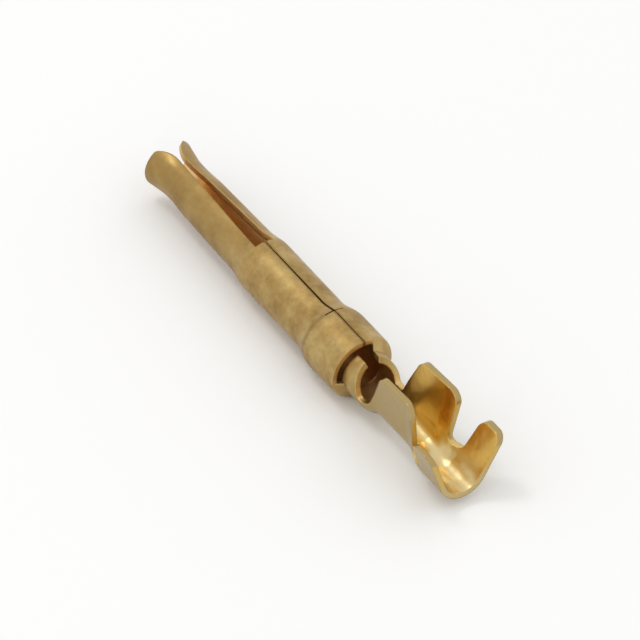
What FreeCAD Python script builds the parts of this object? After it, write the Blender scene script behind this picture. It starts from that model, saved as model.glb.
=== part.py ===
import FreeCAD, Part
import math
import os
import re
import Sketcher

doc = FreeCAD.newDocument("SocketContact")
sizes = doc.addObject("Spreadsheet::Sheet", "Sizes")

# Millimetres and degrees. The axis of the tube is X, the crimp end is at plus X, and the rolled
# seam and the open side of the crimp are on top. X is zero where the collar starts to rise.
# Every radius is that of the outer skin.
measures = [
    ("sheet", 0.17, "thickness of the strip"),
    ("bodyRadius", 0.85, "plain tube"),
    ("bodyLength", 3.03, "foot of the slots to the collar"),
    ("springLength", 4.92, "foot of the slots to the mouth"),
    ("mouthRadius", 0.77, "flared mouth"),
    ("mouthLength", 0.72, "mouth rim to the gripping neck"),
    ("gripRadius", 0.655, "neck of the two springs that grips the pin"),
    ("gripLength", 0.45, "straight part of that neck"),
    ("shankRadius", 0.70, "springs just behind the neck"),
    ("shankPlace", 1.80, "mouth rim to that point"),
    ("springRadius", 0.75, "springs in front of their foot"),
    ("springStep", 0.55, "length of the step up to the plain tube"),
    ("mouthRound", 1.1, "bend of the flare"),
    ("stepRound", 1.0, "bend of the two long steps"),
    ("slotFoot", 0.29, "half width of a slot at its foot"),
    ("slotNeck", 0.10, "half width of a slot at the neck"),
    ("slotMouth", 0.60, "half width of a slot at the mouth"),
    ("slotRise", 0.70, "height at which the slot widths hold"),
    ("lipLength", 0.72, "length of the rounded spring tips"),
    ("seamGap", 0.03, "rolled seam at the foot of the slot"),
    ("seamEnd", 0.07, "rolled seam at the collar"),
    ("collarRadius", 1.01, "collar"),
    ("collarRise", 0.55, "length of the collar's front slope"),
    ("collarLength", 1.99, "front slope and collar together"),
    ("collarSeam", 0.035, "seam in the collar"),
    ("reliefPlace", 0.43, "cross cut at the end of the tube's seam"),
    ("reliefWidth", 0.06, "cross cut along the tube"),
    ("reliefReach", 0.30, "cross cut, half its length"),
    ("neckRadius", 0.72, "neck behind the collar"),
    ("neckFront", 2.04, "front edge of the free neck tab at minus Y"),
    ("neckEnd", 2.92, "end of the round neck"),
    ("neckOpening", 38.0, "angle between the two sides of the neck"),
    ("dropStart", 1.82, "step from the collar down to the neck starts"),
    ("dropEnd", 2.24, "end of that step"),
    ("dropReach", 80.0, "how far up at minus Y, from the underside, collar and neck are in one piece"),
    ("tabSlit", 4.0, "angle between the step and the free neck tab"),
    ("tabPlace", 2.40, "rear edge of a neck tab at its top"),
    ("tabHeight", 0.72, "height of that corner"),
    ("waistFront", 2.82, "first waist starts"),
    ("waistRear", 3.24, "first waist ends"),
    ("waistHeight", -0.13, "edge of the first waist"),
    ("waistRound", 0.10, "front corner of the first waist"),
    ("waistRise", 0.40, "rear corner of the first waist"),
    ("wireRadius", 0.57, "floor of the wire barrel"),
    ("wireFloor", -0.47, "underside of the wire barrel"),
    ("wireStart", 3.60, "wire barrel has its full form from here"),
    ("wireStop", 5.05, "wire barrel has its full form up to here"),
    ("nearLean", 5.5, "lean of the wire wing at minus Y"),
    ("farLean", 10.5, "lean of the wire wing at plus Y"),
    ("wingFront", 3.84, "front corner of a wire wing"),
    ("wingFrontHeight", 1.41, "height of that corner"),
    ("wingRear", 5.54, "rear corner of a wire wing"),
    ("wingRearHeight", 1.51, "height of that corner"),
    ("wingRound", 0.36, "front corners of the wire wings"),
    ("wingRearRound", 0.42, "rear corners of the wire wings"),
    ("gapFront", 5.48, "second waist starts"),
    ("gapRear", 6.04, "second waist ends"),
    ("gapHeight", -0.14, "edge of the second waist"),
    ("gapRound", 0.22, "corners of the second waist"),
    ("cableRadius", 0.76, "floor of the cable grip"),
    ("cableFloor", -0.76, "underside of the cable grip"),
    ("cableStart", 5.97, "cable grip has its full floor from here"),
    ("cableEnd", 7.08, "cut end of the contact"),
    ("cableReach", 1.42, "length of a grip wing from the round of the floor"),
    ("nearFlare", 20.0, "lean of the grip wing at minus Y"),
    ("farFlare", 28.0, "lean of the grip wing at plus Y"),
    ("lobeFront", 6.19, "front corner of a grip wing"),
    ("lobeRound", 0.30, "corners of the grip wings"),
    ("wallTop", 2.0, "height of the walls before they are trimmed"),
]
for row, (name, value, meaning) in enumerate(measures, start=1):
    sizes.set("A%d" % row, meaning)
    sizes.set("B%d" % row, str(value))
    sizes.setAlias("B%d" % row, name)
doc.recompute()
names = [entry[0] for entry in measures]


def bound(text):
    """The same expression with each size read from the sheet."""
    return re.sub(r"[A-Za-z]+", lambda word: "Sizes." + word.group() if word.group() in names
                  else word.group(), text)


def valueOf(text):
    found = sizes.evalExpression(bound(text))
    return float(getattr(found, "Value", found))


def originPart(body, role):
    return [part for part in body.Origin.OriginFeatures if part.Role == role][0]


def newSketch(body, name, plane, distance="0"):
    sketch = body.newObject("Sketcher::SketchObject", name)
    sketch.AttachmentSupport = [(originPart(body, plane), "")]
    sketch.MapMode = "FlatFace"
    if distance != "0":
        sketch.setExpression(".AttachmentOffset.Base.z", bound(distance))
    return sketch


def locate(sketch, geometry, corner, across, up):
    for kind, text, axis in (("DistanceX", across, -2), ("DistanceY", up, -1)):
        if text == "0":
            sketch.addConstraint(Sketcher.Constraint("PointOnObject", geometry, corner, axis))
            continue
        rule = Sketcher.Constraint(kind, -1, 1, geometry, corner, valueOf(text))
        index = sketch.addConstraint(rule)
        sketch.setExpression("Constraints[%d]" % index, bound(text))


def setRadius(sketch, geometry, text):
    index = sketch.addConstraint(Sketcher.Constraint("Radius", geometry, valueOf(text)))
    sketch.setExpression("Constraints[%d]" % index, bound(text))


def addArc(sketch, centre, first, last, turnsLeft):
    """An arc from first to last, with the numbers of its two ends."""
    ends = (first, last) if turnsLeft else (last, first)
    angles = [math.atan2(end.y - centre.y, end.x - centre.x) for end in ends]
    if angles[1] < angles[0]:
        angles[1] += 2 * math.pi
    circle = Part.Circle(centre, FreeCAD.Vector(0, 0, 1), (first - centre).Length)
    index = sketch.addGeometry(Part.ArcOfCircle(circle, angles[0], angles[1]), False)
    return index, (1, 2) if turnsLeft else (2, 1)


def roundedOutline(sketch, corners):
    """A closed outline of straight edges. A corner may have a radius."""
    spots = [FreeCAD.Vector(valueOf(x), valueOf(y), 0) for x, y, bend in corners]
    count = len(corners)
    entries = []
    exits = []
    centres = []
    lefts = []
    for index, (x, y, bend) in enumerate(corners):
        here = spots[index]
        before = (here - spots[index - 1]).normalize()
        after = (spots[(index + 1) % count] - here).normalize()
        side = before.x * after.y - before.y * after.x
        lefts.append(side > 0)
        if not bend:
            entries.append(here)
            exits.append(here)
            centres.append(None)
            continue
        turn = math.acos(max(-1.0, min(1.0, before.dot(after))))
        reach = valueOf(bend) * math.tan(turn / 2)
        entries.append(here - before * reach)
        exits.append(here + after * reach)
        normal = FreeCAD.Vector(-before.y, before.x, 0) * (1 if side > 0 else -1)
        centres.append(entries[-1] + normal * valueOf(bend))
    lines = []
    for index in range(count):
        edge = Part.LineSegment(exits[index], entries[(index + 1) % count])
        lines.append(sketch.addGeometry(edge, False))
    for index, (x, y, bend) in enumerate(corners):
        before = lines[index - 1]
        after = lines[index]
        if not bend:
            sketch.addConstraint(Sketcher.Constraint("Coincident", before, 2, after, 1))
            locate(sketch, after, 1, x, y)
            continue
        arc, ends = addArc(sketch, centres[index], entries[index], exits[index], lefts[index])
        spot = sketch.addGeometry(Part.Point(spots[index]), True)
        locate(sketch, spot, 1, x, y)
        sketch.addConstraint(Sketcher.Constraint("PointOnObject", spot, 1, before))
        sketch.addConstraint(Sketcher.Constraint("PointOnObject", spot, 1, after))
        sketch.addConstraint(Sketcher.Constraint("Tangent", before, 2, arc, ends[0]))
        sketch.addConstraint(Sketcher.Constraint("Tangent", arc, ends[1], after, 1))
        setRadius(sketch, arc, bend)


def pathOutline(sketch, steps):
    """A closed outline. Each step is a corner and, for an arc, its radius, centre and side."""
    spots = [FreeCAD.Vector(valueOf(step[0]), valueOf(step[1]), 0) for step in steps]
    pieces = []
    for index, step in enumerate(steps):
        after = spots[(index + 1) % len(steps)]
        if len(step) == 2:
            edge = Part.LineSegment(spots[index], after)
            pieces.append((sketch.addGeometry(edge, False), (1, 2)))
            continue
        centre = FreeCAD.Vector(valueOf(step[3]), valueOf(step[4]), 0)
        pieces.append(addArc(sketch, centre, spots[index], after, step[5]))
    for index, step in enumerate(steps):
        before, beforeEnds = pieces[index - 1]
        after, afterEnds = pieces[index]
        sketch.addConstraint(Sketcher.Constraint("Coincident", before, beforeEnds[1], after, afterEnds[0]))
        locate(sketch, after, afterEnds[0], step[0], step[1])
        if len(step) > 2:
            setRadius(sketch, after, step[2])


def wallOutline(sketch, skin):
    """The cut through a wall of sheet. Each corner of the skin is a place, a radius and a bend."""
    inner = []
    for index, (x, radius, bend, sign) in enumerate(skin):
        shift = "0"
        if bend:
            before = skin[index - 1]
            after = skin[index + 1]
            slopes = []
            for start, end in ((before, skin[index]), (skin[index], after)):
                slopes.append("atan2((%s) - (%s); (%s) - (%s))" % (end[1], start[1], end[0], start[0]))
            shift = "sheet * tan((%s + %s) / 2)" % tuple(slopes)
        innerBend = None
        if bend:
            innerBend = "%s + sheet" % bend if sign > 0 else bend
        inner.append(("%s + %s" % (x, shift), "-(%s - sheet)" % radius, innerBend))
    outer = []
    for x, radius, bend, sign in skin:
        outerBend = bend
        if bend and sign < 0:
            outerBend = "%s + sheet" % bend
        outer.append((x, "-(%s)" % radius, outerBend))
    roundedOutline(sketch, outer + inner[::-1])


def revolve(body, name, sketch, angle, backwards=None):
    """Turned about the tube's axis, evenly to both sides or by one angle to each side."""
    turned = body.newObject("PartDesign::Revolution", name)
    turned.Profile = sketch
    turned.ReferenceAxis = (originPart(body, "X_Axis"), [""])
    if backwards:
        turned.Type = "TwoAngles"
        turned.setExpression("Angle2", bound(backwards))
    else:
        turned.Midplane = True
    turned.setExpression("Angle", bound(angle))
    doc.recompute()
    return turned


def cut(body, name, sketch, length, upwards=True, both=False):
    pocket = body.newObject("PartDesign::Pocket", name)
    pocket.Profile = sketch
    pocket.setExpression("Length", bound(length))
    pocket.Reversed = upwards
    pocket.Midplane = both
    before = body.Shape.Volume
    doc.recompute()
    print(name, "took away %.4f" % (before - pocket.Shape.Volume))
    return pocket


contact = doc.addObject("PartDesign::Body", "SocketContact")
contact.Label = "Socket contact"
contact.Placement = FreeCAD.Placement()
doc.recompute()

# The round neck behind the collar, open on top.
neckSide = "180 - neckOpening / 2"
neckSketch = newSketch(contact, "NeckWall", "XZ_Plane")
wallOutline(neckSketch, [
    ("dropEnd", "neckRadius", None, 0),
    ("neckEnd", "neckRadius", None, 0)])
revolve(contact, "Neck", neckSketch, "360 - neckOpening")

# At minus Y the neck ends in a free tab behind the collar, with a slit between the tab and the step.
tabSketch = newSketch(contact, "TabWall", "XY_Plane")
wallOutline(tabSketch, [
    ("neckFront", "neckRadius", None, 0),
    ("dropEnd + sheet / 2", "neckRadius", None, 0)])
revolve(contact, "NeckTab", tabSketch, "90 - dropReach - tabSlit", "90 - neckOpening / 2")

# The step down from the collar to the neck, an S of two even bends. It runs round the underside and all the
# way up at plus Y.
dropSketch = newSketch(contact, "DropWall", "XZ_Plane")
wallOutline(dropSketch, [
    ("dropStart", "collarRadius", None, 0),
    ("dropStart + (dropEnd - dropStart) * 0.30", "collarRadius", "sheet / 4", -1),
    ("dropEnd - (dropEnd - dropStart) * 0.25", "neckRadius", "sheet / 4", 1),
    ("neckEnd", "neckRadius", None, 0)])
revolve(contact, "CollarDrop", dropSketch, neckSide, "dropReach")

# The rolled tube: flared mouth, gripping neck, springs, plain tube and collar in one wall.
tubeSketch = newSketch(contact, "TubeWall", "XZ_Plane")
mouth = "-bodyLength - springLength"
wallOutline(tubeSketch, [
    (mouth, "mouthRadius", None, 0),
    (mouth + " + mouthLength", "gripRadius", "mouthRound", 1),
    (mouth + " + mouthLength + gripLength", "gripRadius", "mouthRound", 1),
    (mouth + " + shankPlace", "shankRadius", "stepRound", -1),
    ("-bodyLength - springStep", "springRadius", "stepRound", 1),
    ("-bodyLength", "bodyRadius", "stepRound", -1),
    ("0", "bodyRadius", "stepRound", 1),
    ("collarRise", "collarRadius", "stepRound", -1),
    ("dropStart", "collarRadius", None, 0)])
revolve(contact, "Tube", tubeSketch, "360")

# Round its free part, the collar runs on to a cut rim.
rimSketch = newSketch(contact, "RimWall", "XZ_Plane")
roundedOutline(rimSketch, [
    ("dropStart", "collarRadius - sheet", None),
    ("collarLength", "collarRadius - sheet", None),
    ("collarLength", "collarRadius", None),
    ("dropStart", "collarRadius", None)])
revolve(contact, "CollarRim", rimSketch, "180 - dropReach", "neckOpening / 2")

# The two slots part the springs. Their edges point at the axis, as strip cut flat and rolled has them.
slotSketches = []
for name, height in (("SlotLow", "sheet"), ("SlotHigh", "collarRadius * 1.2")):
    scale = "(%s) / slotRise" % height
    neck = "slotNeck * " + scale
    lip = "slotMouth * " + scale
    start = mouth + " + lipLength"
    turn = mouth + " + lipLength * 0.105"
    swell = "((slotMouth - slotNeck) * 0.593 * %s)" % scale
    wide = "(%s + %s)" % (neck, swell)
    rest = "(%s - %s)" % (lip, wide)
    long = "lipLength * 0.895"
    short = "lipLength * 0.105"
    bend = "(({0}) * ({0}) + {1} * {1}) / (2 * {1})".format(long, swell)
    tip = "(({0}) * ({0}) + {1} * {1}) / (2 * {0})".format(short, rest)
    sketch = newSketch(contact, name, "XY_Plane", height)
    pathOutline(sketch, [
        ("-bodyLength", "-slotFoot * " + scale),
        ("-bodyLength", "slotFoot * " + scale),
        (start, neck, bend, start, "%s + %s" % (neck, bend), False),
        (turn, wide, tip, mouth + " + " + tip, lip, False),
        (mouth, lip),
        (mouth + " - sheet", lip),
        (mouth + " - sheet", "-" + lip),
        (mouth, "-" + lip, tip, mouth + " + " + tip, "-" + lip, False),
        (turn, "-" + wide, bend, start, "-(%s + %s)" % (neck, bend), False),
        (start, "-" + neck)])
    slotSketches.append(sketch)
slots = contact.newObject("PartDesign::SubtractiveLoft", "TopSlot")
slots.Profile = slotSketches[0]
slots.Sections = slotSketches[1:]
slots.Ruled = True
doc.recompute()
mirrored = contact.newObject("PartDesign::Mirrored", "BottomSlot")
mirrored.Originals = [slots]
mirrored.MirrorPlane = (originPart(contact, "XY_Plane"), [""])
contact.Tip = mirrored
doc.recompute()

# The seam where the strip's edges meet, the cross cut that lets the collar bulge, and its own seam.
seamSketch = newSketch(contact, "SeamPlan", "XY_Plane")
crossFront = "reliefPlace"
crossRear = "reliefPlace + reliefWidth"
roundedOutline(seamSketch, [
    ("-bodyLength - sheet", "-seamGap / 2", None),
    (crossFront, "-seamEnd / 2", None),
    (crossFront, "-reliefReach", None),
    (crossRear, "-reliefReach", None),
    (crossRear, "-collarSeam / 2", None),
    ("collarLength + sheet / 5", "-collarSeam / 2", None),
    ("collarLength + sheet / 5", "collarSeam / 2", None),
    (crossRear, "collarSeam / 2", None),
    (crossRear, "reliefReach", None),
    (crossFront, "reliefReach", None),
    (crossFront, "seamEnd / 2", None),
    ("-bodyLength - sheet", "seamGap / 2", None)])
cut(contact, "Seam", seamSketch, "collarRadius * 2")

# The open crimp: U sections from the round neck to the narrow wire barrel and the wide cable grip.
# Between two of them the form changes in an even S. The wings keep their lean up to the second waist.
stations = [
    ("neckEnd", "neckRadius", "-neckRadius", "nearLean / 3", "nearLean / 3", 4),
    ("wireStart", "wireRadius", "wireFloor", "nearLean", "farLean", 1),
    ("wireStop", "wireRadius", "wireFloor", "nearLean", "farLean", 6),
    ("cableStart", "cableRadius", "cableFloor", "nearFlare", "farFlare", 1),
    ("cableEnd", "cableRadius", "cableFloor", "nearFlare", "farFlare", 1),
]
sections = []
for index, station in enumerate(stations):
    if index == len(stations) - 1:
        sections.append(station[:5])
        break
    for step in range(station[5]):
        part = step / station[5]
        blend = part * part * (3 - 2 * part)
        mixed = []
        late = max(0.0, 2 * part - 1)
        lean = late * late * (3 - 2 * late) if index == 2 else blend
        for share, here, there in zip((part, blend, blend, lean, lean), station, stations[index + 1]):
            same = here == there or step == 0
            mixed.append(here if same else "((%s) * %.4f + (%s) * %.4f)" % (here, 1 - share, there, share))
        sections.append(tuple(mixed))
sectionSketches = []
for number, (place, radius, floor, nearLean, farLean) in enumerate(sections, start=1):
    sketch = newSketch(contact, "Channel%02d" % number, "YZ_Plane", place)
    centre = "(%s + %s)" % (floor, radius)
    skin = {}
    for side, lean in (("near", nearLean), ("far", farLean)):
        sign = "-" if side == "near" else ""
        for layer, reach in (("outer", "(%s)" % radius), ("inner", "(%s - sheet)" % radius)):
            foot = "%s - %s * sin(%s)" % (centre, reach, lean)
            length = "((wallTop - (%s)) / cos(%s))" % (foot, lean)
            footAcross = "%s%s * cos(%s)" % (sign, reach, lean)
            topAcross = "%s(%s * cos(%s) + %s * sin(%s))" % (sign, reach, lean, length, lean)
            skin[side, layer] = [(topAcross, "wallTop"), (footAcross, foot)]
    outerReach = "(%s)" % radius
    innerReach = "(%s - sheet)" % radius
    pathOutline(sketch, [
        skin["near", "outer"][0],
        skin["near", "outer"][1] + (outerReach, "0", centre, True),
        skin["far", "outer"][1],
        skin["far", "outer"][0],
        skin["far", "inner"][0],
        skin["far", "inner"][1] + (innerReach, "0", centre, False),
        skin["near", "inner"][1],
        skin["near", "inner"][0]])
    sectionSketches.append(sketch)
first = 0
for name, steps in (("NeckFunnel", 4), ("WireBarrel", 1), ("Waist", 6), ("CableGrip", 1)):
    run = contact.newObject("PartDesign::AdditiveLoft", name)
    run.Profile = sectionSketches[first]
    run.Sections = sectionSketches[first + 1:first + steps + 1]
    run.Ruled = steps == 1
    first += steps
    doc.recompute()

# Seen from the side, the strip's edge runs down the neck tab, along the first waist, over the wire wing
# and down into the second waist.
wireSketch = newSketch(contact, "WireEdge", "XZ_Plane")
gapMiddle = "(gapFront + gapRear) / 2"
roundedOutline(wireSketch, [
    ("tabPlace", "wallTop + sheet", None),
    ("tabPlace", "tabHeight", None),
    ("waistFront", "waistHeight", "waistRound"),
    ("waistRear", "waistHeight", "waistRise"),
    ("wingFront", "wingFrontHeight", "wingRound"),
    ("wingRear", "wingRearHeight", "wingRearRound"),
    ("gapFront", "gapHeight", "gapRound"),
    (gapMiddle, "gapHeight", None),
    (gapMiddle, "wallTop + sheet", None)])
cut(contact, "WireWings", wireSketch, "wallTop * 4", both=True)

# Each grip wing leans out by its own amount, so the same length of strip ends at another height.
for side, lean in (("Near", "nearFlare"), ("Far", "farFlare")):
    top = "(cableFloor + cableRadius - cableRadius * sin(%s) + cableReach * cos(%s))" % (lean, lean)
    sketch = newSketch(contact, side + "Edge", "XZ_Plane")
    roundedOutline(sketch, [
        (gapMiddle, "gapHeight", None),
        ("gapRear", "gapHeight", "gapRound"),
        ("lobeFront", top, "lobeRound"),
        ("cableEnd", top, "lobeRound"),
        ("cableEnd", "gapHeight", None),
        ("cableEnd + sheet * 2", "gapHeight", None),
        ("cableEnd + sheet * 2", "wallTop + sheet", None),
        (gapMiddle, "wallTop + sheet", None)])
    cut(contact, side + "Wing", sketch, "wallTop * 2", upwards=(side == "Near"))

for item in doc.Objects:
    if "Invalid" in item.State or "Error" in item.State:
        raise RuntimeError(item.Name + " is not valid")
shape = contact.Shape
if shape.isNull() or not shape.isValid() or len(shape.Solids) != 1:
    raise RuntimeError("the contact is not one valid solid")
print("solids", len(shape.Solids), "volume %.4f" % shape.Volume, "box", shape.BoundBox)
os.makedirs("parts", exist_ok=True)
shape.exportStep("parts/socket_contact.step")
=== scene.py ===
import bpy
from mathutils import Matrix, Vector


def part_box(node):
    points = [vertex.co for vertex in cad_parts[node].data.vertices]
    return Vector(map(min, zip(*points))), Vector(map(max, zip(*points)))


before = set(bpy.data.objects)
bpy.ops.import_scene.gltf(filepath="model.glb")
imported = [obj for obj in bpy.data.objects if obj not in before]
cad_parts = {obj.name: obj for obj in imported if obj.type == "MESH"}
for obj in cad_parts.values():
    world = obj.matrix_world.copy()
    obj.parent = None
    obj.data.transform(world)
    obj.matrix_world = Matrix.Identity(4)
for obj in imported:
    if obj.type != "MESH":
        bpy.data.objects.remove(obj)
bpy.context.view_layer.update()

mm = 0.001  # metres in a millimetre


def toLinear(hexColour):
    channels = [int(hexColour[i:i + 2], 16) / 255 for i in (1, 3, 5)]
    return [c / 12.92 if c <= 0.04045 else ((c + 0.055) / 1.055) ** 2.4 for c in channels] + [1.0]


# Adds a node, sets its properties and inputs, and links what is given as a socket
def addNode(tree, kind, settings=None, **inputs):
    node = tree.nodes.new("ShaderNode" + kind)
    for name, value in (settings or {}).items():
        setattr(node, name, value)
    for name, value in inputs.items():
        key = int(name[1:]) if name[1:].isdigit() else name
        socket = node.inputs[key]
        if isinstance(value, bpy.types.NodeSocket):
            tree.links.new(value, socket)
        else:
            socket.default_value = value
    return node


def setRamp(node, stops):
    stops = list(stops)
    ramp = node.color_ramp
    while len(ramp.elements) < len(stops):
        ramp.elements.new(0.5)
    for element, (place, colour) in zip(ramp.elements, stops):
        element.position = place
        element.color = toLinear(colour)


# Carries a value from one range to another, and returns the socket
def spread(tree, value, low, high, least=0.0, most=1.0, kind="SMOOTHSTEP"):
    limits = {"From Min": low, "From Max": high, "To Min": least, "To Max": most}
    return addNode(tree, "MapRange", {"interpolation_type": kind}, Value=value, **limits).outputs["Result"]


def calculate(tree, operation, *values):
    inputs = {"_%d" % number: value for number, value in enumerate(values)}
    return addNode(tree, "Math", {"operation": operation}, **inputs).outputs[0]


def blendColours(tree, share, first, second):
    return addNode(tree, "Mix", {"data_type": "RGBA"}, _0=share, _6=first, _7=second).outputs[2]


def addNoise(tree, place, scale, detail, harshness=0.5):
    noise = addNode(tree, "TexNoise", Vector=place, Scale=scale, Detail=detail, Roughness=harshness)
    return noise.outputs["Fac"]


# Gold plate on copper alloy strip, stamped and rolled: a warm metal with cloudy, satin patches on the
# tube, where the tools burnished it, and a smoother face with fine rolling lines in the open crimp.
goldPlate = {
    "patch": 0.85 * mm,        # cloudy patches of the plating on the tube
    "patchDetail": 3.0,
    "patchHarshness": 0.55,
    "patchRange": (0.35, 0.65),
    "speck": 0.16 * mm,        # small specks within them
    "speckDetail": 2.0,
    "speckHarshness": 0.6,
    "speckShare": 0.4,
    "cloudStops": (0.50, 0.70, 0.90),
    "grain": 0.035 * mm,       # satin grain, drawn coarser than real so that it shows
    "grainDepth": 0.0008 * mm,
    "lineGap": 0.045 * mm,     # spacing of the rolling lines, also drawn coarse
    "lineRun": 1.6 * mm,       # length of one line along the strip
    "lineDetail": 2.0,
    "lineStops": (0.20, 0.60),
    "dent": 0.42 * mm,         # width of the shallow dents left by the forming tools
    "dentDepth": 0.016 * mm,
    "edgeRound": 0.065 * mm,   # the sheared edge of the strip looks softly rounded
    "edgeSamples": 6,
    "wear": 0.03 * mm,         # reach of the worn band along an edge
    "wearSamples": 4,
    "wearRange": (0.995, 0.90),  # how far the rounded edge turns from its face, as a cosine
    "springs": "#997B48",      # the springs are a little browner than the barrel
    "springFrom": -3.0 * mm,
    "springTo": -4.2 * mm,
    "springShare": 0.6,
    "crease": 0.45 * mm,       # painted shade: a soft brown crease at minus Y where the collar starts
    "creaseNear": 0.010 * mm,
    "creaseFar": 0.13 * mm,
    "creaseShadeShare": 0.38,
    "paintedShadeBrown": "#6E4E22",      # brown painted shade, drawn along the closed seam and the crease
    "seamNear": 0.015 * mm,
    "seamFar": 0.075 * mm,
    "seamTop": 0.4 * mm,
    "faceTurn": 0.2 * mm,      # soft change between the two faces of the strip
    "tubeEnd": 2.3 * mm,       # the satin tube ends here, and the smooth crimp starts
    "crimpStart": 3.4 * mm,
    "clear": "#B9A069",        # clean plate
    "plain": "#AB8E58",
    "dull": "#987C49",         # browner patches
    "crimp": "#DDB965",        # the smooth inside of the open crimp
    "crimpLow": "#D7B360",     # its rolling lines
    "floor": "#D5C08C",        # painted highlight, paler at the bottom of the open crimp
    "floorLow": -0.40 * mm,
    "floorHigh": 0.10 * mm,
    "outside": "#AE9763",      # duller satin on the outside of the crimp wings
    "inside": "#E3BA80",       # redder plate inside the tube
    "worn": "#BD9E64",
    "tubeRough": (0.34, 0.50),
    "crimpRough": (0.26, 0.32),
}


# Cloudy plate outside the tube, browner on the springs, with painted shade in the crease, and redder
# inside
def addTubeColour(tree, across, patches, specks, outer):
    s = goldPlate
    cloud = calculate(tree, "MULTIPLY_ADD", specks, s["speckShare"], patches)
    tone = addNode(tree, "ValToRGB", Fac=cloud)
    setRamp(tone, zip(s["cloudStops"], (s["dull"], s["plain"], s["clear"])))
    front = spread(tree, across["X"], s["springFrom"], s["springTo"], most=s["springShare"])
    colour = blendColours(tree, front, tone.outputs["Color"], toLinear(s["springs"]))
    # Painted shade in the crease where the collar starts, on the minus Y side only
    away = calculate(tree, "ABSOLUTE", calculate(tree, "SUBTRACT", across["X"], s["crease"]))
    crease = spread(tree, away, s["creaseFar"], s["creaseNear"], most=s["creaseShadeShare"])
    crease = calculate(tree, "MULTIPLY", crease, calculate(tree, "LESS_THAN", across["Y"], 0.0))
    colour = blendColours(tree, crease, colour, toLinear(s["paintedShadeBrown"]))
    return blendColours(tree, outer, toLinear(s["inside"]), colour)


# Rolling lines inside the crimp, a painted highlight along its floor, and a duller outside
def addCrimpColour(tree, across, lines, outer):
    s = goldPlate
    tone = addNode(tree, "ValToRGB", Fac=lines)
    setRamp(tone, zip(s["lineStops"], (s["crimpLow"], s["crimp"])))
    # Painted highlight: the floor colour fills the bottom of the crimp and fades out upwards
    up = spread(tree, across["Z"], s["floorLow"], s["floorHigh"])
    colour = blendColours(tree, up, toLinear(s["floor"]), tone.outputs["Color"])
    return blendColours(tree, outer, colour, toLinear(s["outside"]))


# Painted shade: a brown band along the seam groove on top of the tube
def addSeamShade(tree, across, smooth):
    s = goldPlate
    seamShade = spread(tree, calculate(tree, "ABSOLUTE", across["Y"]), s["seamFar"], s["seamNear"])
    seamShade = calculate(tree, "MULTIPLY", seamShade, calculate(tree, "GREATER_THAN", across["Z"], s["seamTop"]))
    return calculate(tree, "MULTIPLY", seamShade, calculate(tree, "SUBTRACT", 1.0, smooth))


# The share by which the plate is worn along the stamped edges
def addEdgeWear(tree):
    s = goldPlate
    corner = addNode(tree, "Bevel", {"samples": s["wearSamples"]}, Radius=s["wear"])
    facing = addNode(tree, "NewGeometry")
    turned = addNode(tree, "VectorMath", {"operation": "DOT_PRODUCT"}, _0=corner.outputs[0],
                     _1=facing.outputs["Normal"])
    return spread(tree, turned.outputs["Value"], *s["wearRange"], kind="LINEAR")


# Rounded edges first, then the tool dents, then the satin grain or the rolling lines
def addRelief(tree, place, smooth, lines):
    s = goldPlate
    softEdge = addNode(tree, "Bevel", {"samples": s["edgeSamples"]}, Radius=s["edgeRound"])
    dents = addNoise(tree, place, 1 / s["dent"], 1.0)
    grain = addNoise(tree, place, 1 / s["grain"], 1.0)
    fine = addNode(tree, "Mix", _0=smooth, _2=grain, _3=lines)
    wavy = addNode(tree, "Bump", Height=dents, Distance=s["dentDepth"], Strength=1.0,
                   Normal=softEdge.outputs[0])
    satin = addNode(tree, "Bump", Height=fine.outputs[0], Distance=s["grainDepth"], Strength=1.0,
                    Normal=wavy.outputs[0])
    return satin.outputs[0]


def makeGoldPlate():
    s = goldPlate
    material = bpy.data.materials.new("gold plate on copper alloy")
    material.use_nodes = True
    tree = material.node_tree
    tree.nodes.clear()
    places = addNode(tree, "TexCoord").outputs
    place = places["Object"]
    across = addNode(tree, "SeparateXYZ", _0=place).outputs
    smooth = spread(tree, across["X"], s["tubeEnd"], s["crimpStart"])
    patches = addNoise(tree, place, 1 / s["patch"], s["patchDetail"], s["patchHarshness"])
    specks = addNoise(tree, place, 1 / s["speck"], s["speckDetail"], s["speckHarshness"])
    # Lines run along the strip, so the pattern is stretched along X
    perMetre = (1 / s["lineRun"], 1 / s["lineGap"], 1 / s["lineGap"])
    lineSpace = addNode(tree, "Mapping", Vector=place, Scale=perMetre)
    lines = addNoise(tree, lineSpace.outputs[0], 1.0, s["lineDetail"])
    # The face turned away from the axis is the outside of the strip
    around = addNode(tree, "CombineXYZ", _1=across["Y"], _2=across["Z"])
    outward = addNode(tree, "VectorMath", {"operation": "DOT_PRODUCT"}, _0=around.outputs[0],
                      _1=places["Normal"])
    outer = spread(tree, outward.outputs["Value"], -s["faceTurn"], s["faceTurn"])
    tube = addTubeColour(tree, across, patches, specks, outer)
    crimp = addCrimpColour(tree, across, lines, outer)
    colour = blendColours(tree, smooth, tube, crimp)
    # Painted shade along the seam on top of the tube
    colour = blendColours(tree, addSeamShade(tree, across, smooth), colour, toLinear(s["paintedShadeBrown"]))
    colour = blendColours(tree, addEdgeWear(tree), colour, toLinear(s["worn"]))
    leastRough, mostRough = s["tubeRough"]
    tubeRough = spread(tree, patches, *s["patchRange"], least=mostRough, most=leastRough, kind="LINEAR")
    crimpRough = spread(tree, lines, 0.0, 1.0, *s["crimpRough"], kind="LINEAR")
    rough = addNode(tree, "Mix", _0=smooth, _2=tubeRough, _3=crimpRough)
    metal = addNode(tree, "BsdfPrincipled", Metallic=1.0, Roughness=rough.outputs[0],
                    Normal=addRelief(tree, place, smooth, lines))
    tree.links.new(colour, metal.inputs["Base Color"])
    addNode(tree, "OutputMaterial", Surface=metal.outputs[0])
    return material


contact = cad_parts["socket_contact"]
contact.data.materials.clear()
contact.data.materials.append(makeGoldPlate())
print("contact finished")

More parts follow.
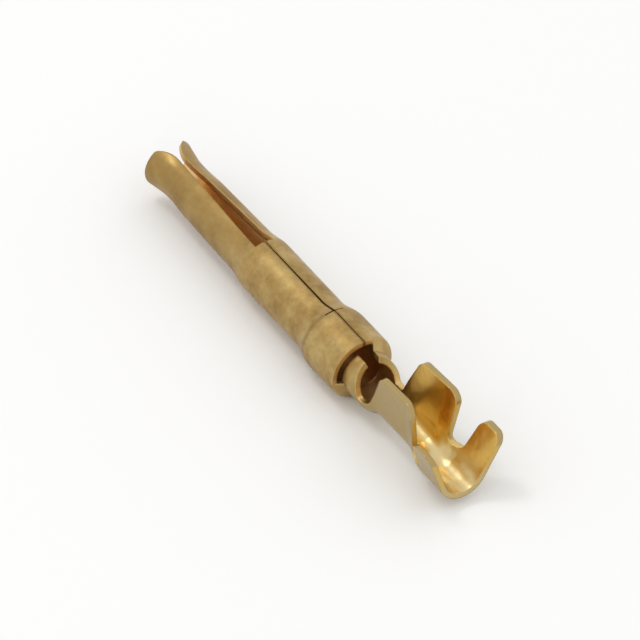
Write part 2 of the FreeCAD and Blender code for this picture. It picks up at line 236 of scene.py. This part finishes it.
studio = {
    "floorSize": 400 * mm,
    "floor": "#FDFDFC",
    "lowest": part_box("socket_contact")[0].z,
    "dome": 0.88,
    "lamps": [
        ("top", (-80 * mm, -58 * mm, 207 * mm), 60 * mm, 0.065),
        ("side", (160 * mm, -150 * mm, 90 * mm), 46 * mm, 0.020),
    ],
}


def makeFloor():
    bpy.ops.mesh.primitive_plane_add(size=studio["floorSize"], location=(0, 0, studio["lowest"]))
    floor = bpy.context.object
    floor.name = "floor"
    material = bpy.data.materials.new("pale matt paper")
    material.use_nodes = True
    shader = material.node_tree.nodes["Principled BSDF"]
    shader.inputs["Base Color"].default_value = toLinear(studio["floor"])
    shader.inputs["Roughness"].default_value = 0.9
    shader.inputs["Specular IOR Level"].default_value = 0.1
    floor.data.materials.append(material)


# What the camera, metal and glass see past the floor is white, and what lights the rest is a little weaker
def makeDome():
    world = bpy.data.worlds.new("soft dome")
    bpy.context.scene.world = world
    world.use_nodes = True
    tree = world.node_tree
    tree.nodes.clear()
    path = addNode(tree, "LightPath")
    seen = addNode(tree, "Math", {"operation": "MAXIMUM"}, _0=path.outputs["Is Camera Ray"],
                   _1=path.outputs["Is Transmission Ray"])
    seen = addNode(tree, "Math", {"operation": "MAXIMUM"}, _0=seen.outputs[0],
                   _1=path.outputs["Is Glossy Ray"])
    strength = addNode(tree, "MapRange", Value=seen.outputs[0])
    strength.inputs["To Min"].default_value = studio["dome"]
    strength.inputs["To Max"].default_value = 1.0
    light = addNode(tree, "Background", Color=(1, 1, 1, 1), Strength=strength.outputs["Result"])
    addNode(tree, "OutputWorld", Surface=light.outputs[0])


def makeLamps():
    for name, place, size, power in studio["lamps"]:
        lamp = bpy.data.lights.new(name, "AREA")
        lamp.size = size
        lamp.energy = power
        lampObject = bpy.data.objects.new(name, lamp)
        lampObject.location = place
        lampObject.rotation_euler = (-Vector(place)).to_track_quat("-Z", "Y").to_euler()
        bpy.context.scene.collection.objects.link(lampObject)


makeFloor()
makeDome()
makeLamps()
print("studio made")

# The photograph was taken from far off, 55 degrees round from minus Y towards plus X and 41 degrees up,
# with the camera rolled by 3 degrees
shot = {
    "back": (0.6144, -0.4294, 0.6619),
    "right": (0.5414, 0.8397, 0.0422),
    "aim": (-0.168 * mm, -0.012 * mm, 0.148 * mm),
    "seenWidth": 17.597 * mm,
    "lens": 1200,
    "sensor": 36,
    "clipNear": 0.1,
    "clipFar": 4,
}


def makeCamera():
    data = bpy.data.cameras.new("shot")
    data.lens = shot["lens"]
    data.sensor_width = shot["sensor"]
    camera = bpy.data.objects.new("shot", data)
    bpy.context.scene.collection.objects.link(camera)
    back = Vector(shot["back"]).normalized()
    right = Vector(shot["right"])
    right = (right - back * right.dot(back)).normalized()
    up = back.cross(right)
    distance = shot["lens"] / shot["sensor"] * shot["seenWidth"]
    turn = Matrix((right, up, back)).transposed().to_4x4()
    camera.matrix_world = Matrix.Translation(Vector(shot["aim"]) + back * distance) @ turn
    data.clip_start = distance * shot["clipNear"]
    data.clip_end = distance * shot["clipFar"]
    bpy.context.scene.camera = camera


makeCamera()
bpy.context.scene.view_settings.view_transform = "Standard"

print("scene ready")
